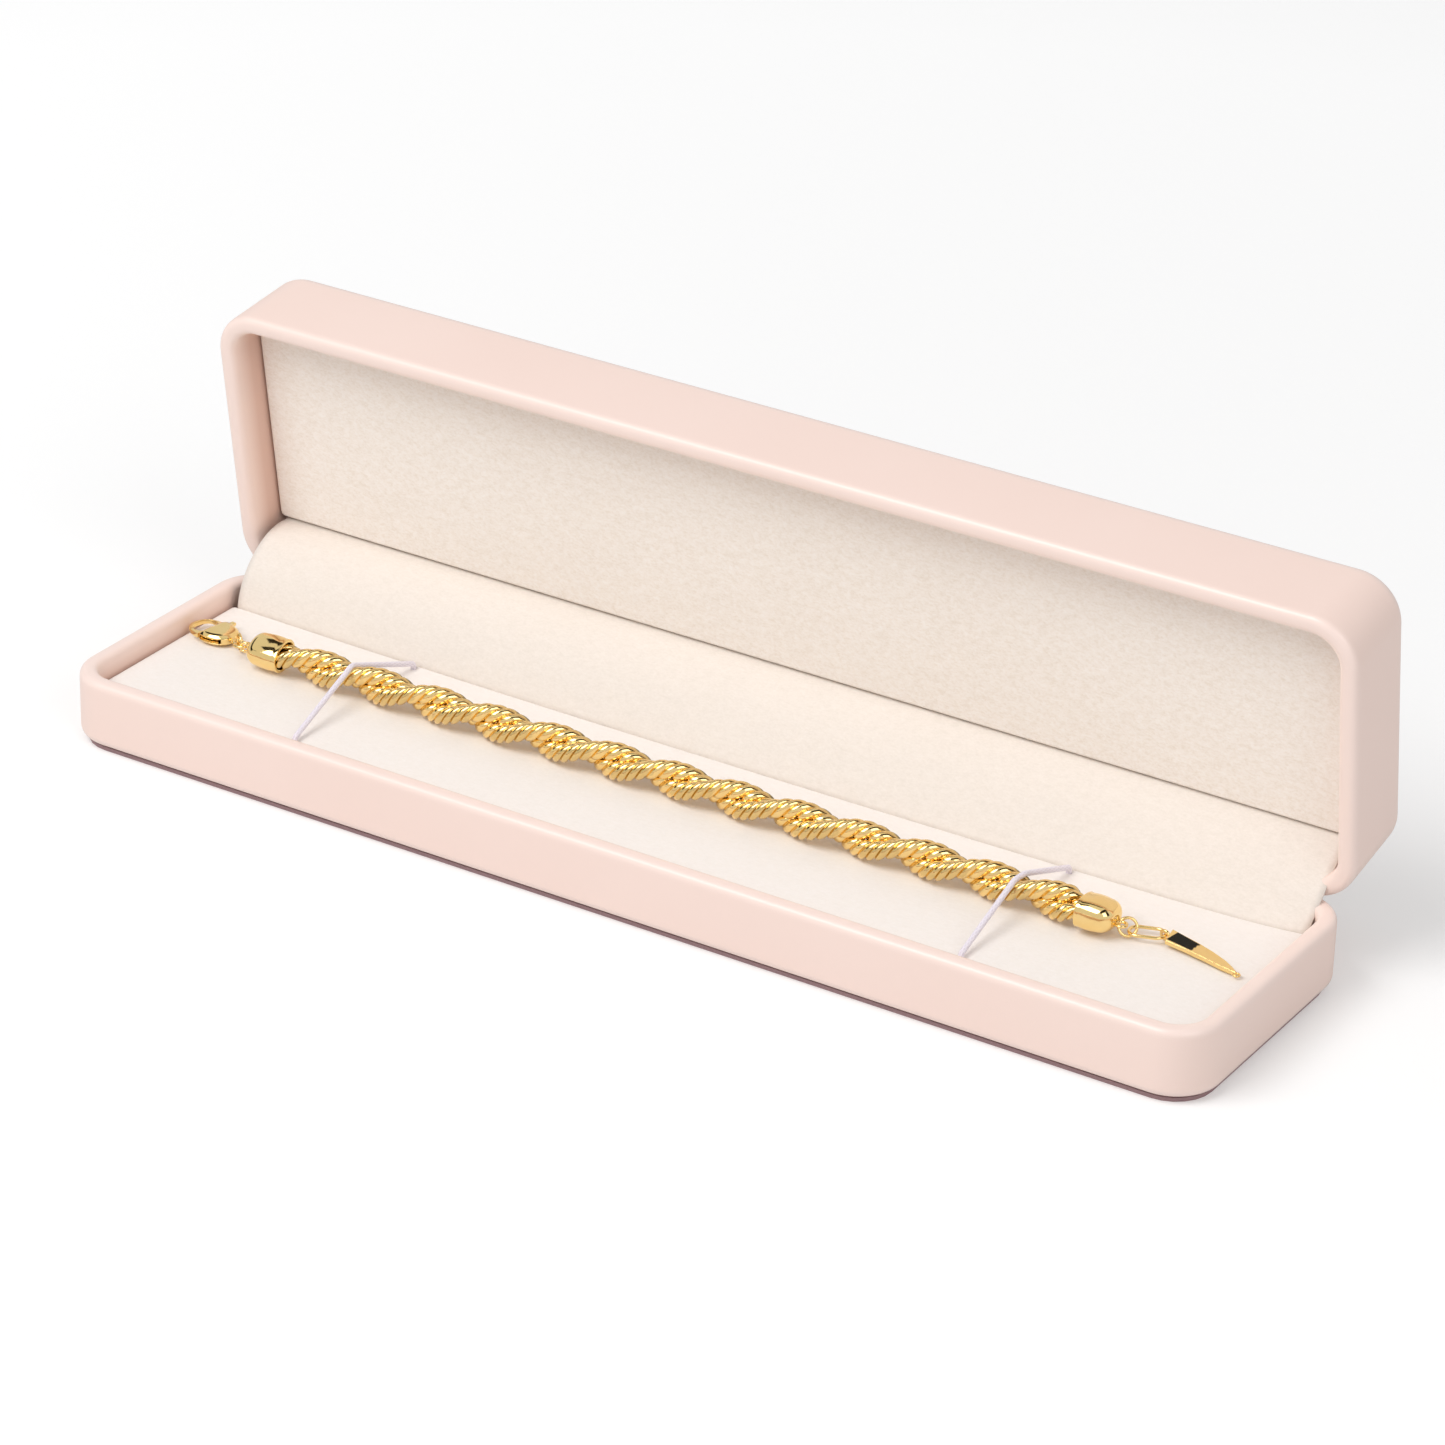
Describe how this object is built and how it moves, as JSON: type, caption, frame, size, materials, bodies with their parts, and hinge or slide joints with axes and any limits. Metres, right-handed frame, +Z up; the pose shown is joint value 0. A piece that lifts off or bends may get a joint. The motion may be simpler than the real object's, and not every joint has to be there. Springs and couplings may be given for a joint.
{
  "type": "bracelet box",
  "caption": "Long slim hinged jewellery case in smooth leatherette with velvet pads, standing open, holding a twisted rope bracelet under elastic cords.",
  "frame": {"origin": "on the resting plane, under the middle of the base tray", "axes": "+X runs along the case to the wearer's right, -Y is the front where the lid opens, +Z is up"},
  "size_m": [0.225, 0.0722, 0.0685],
  "materials": {
    "leatherette": "smooth semi-gloss pink",
    "tray_core": "moulded",
    "base_paper": "matt mauve paper",
    "greyboard": "matt board",
    "velvet": "cream velvet",
    "hinge_steel": "plated spring steel",
    "gold_plate": "polished gold plate",
    "elastic": "white elastic cord"
  },
  "bodies": {
    "base": {"bottom_sheet": "base_paper", "base_skin": "leatherette", "base_core": "tray_core", "base_pad_board": "greyboard", "base_pad": "velvet", "hinge_flap": "velvet", "hinge_left_base_leaf": "hinge_steel", "hinge_left_pin": "hinge_steel", "hinge_left_spring": "hinge_steel", "hinge_right_base_leaf": "hinge_steel", "hinge_right_pin": "hinge_steel", "hinge_right_spring": "hinge_steel", "elastic_left": "elastic", "elastic_right": "elastic", "rope_strand_a": "gold_plate", "rope_strand_b": "gold_plate", "end_cap_left": "gold_plate", "end_cap_right": "gold_plate", "clasp_ring_near": "gold_plate", "clasp_ring_far": "gold_plate", "tag_ring": "gold_plate", "long_link": "gold_plate"},
    "lid": {"lid_skin": "leatherette", "lid_core": "tray_core", "lid_pad_board": "greyboard", "lid_pad": "velvet", "hinge_left_lid_leaf": "hinge_steel", "hinge_right_lid_leaf": "hinge_steel"},
    "clasp": {"clasp_body": "gold_plate", "clasp_rivet": "gold_plate", "clasp_spring": "hinge_steel"},
    "clasp_thumb_lever": {"clasp_lever": "gold_plate"},
    "tag_blade": {"tag": "gold_plate"}
  },
  "joints": [
    {"name": "lid_hinge", "type": "hinge", "parent": "base", "child": "lid", "pos_m": [0, 0.02625, 0.01365], "axis": [1, 0, 0], "range_deg": [0, 81.4], "deforming": ["hinge_flap"]},
    {"name": "clasp_swing", "type": "hinge", "parent": "base", "child": "clasp", "pos_m": [-0.09705, 0.00396, 0.0112], "axis": [0, 0, 1], "range_deg": [-5, 5]},
    {"name": "clasp_lever_pivot", "type": "hinge", "parent": "clasp", "child": "clasp_thumb_lever", "pos_m": [-0.10136, 0.0037, 0.0112], "axis": [0, 0, -1], "range_deg": [0, 16], "stiffness_Nm_per_rad": 0.0005},
    {"name": "tag_swing", "type": "hinge", "parent": "base", "child": "tag_blade", "pos_m": [0.08975, 0.00417, 0.01112], "axis": [0, 0, 1], "range_deg": [-8, 8]}
  ]
}
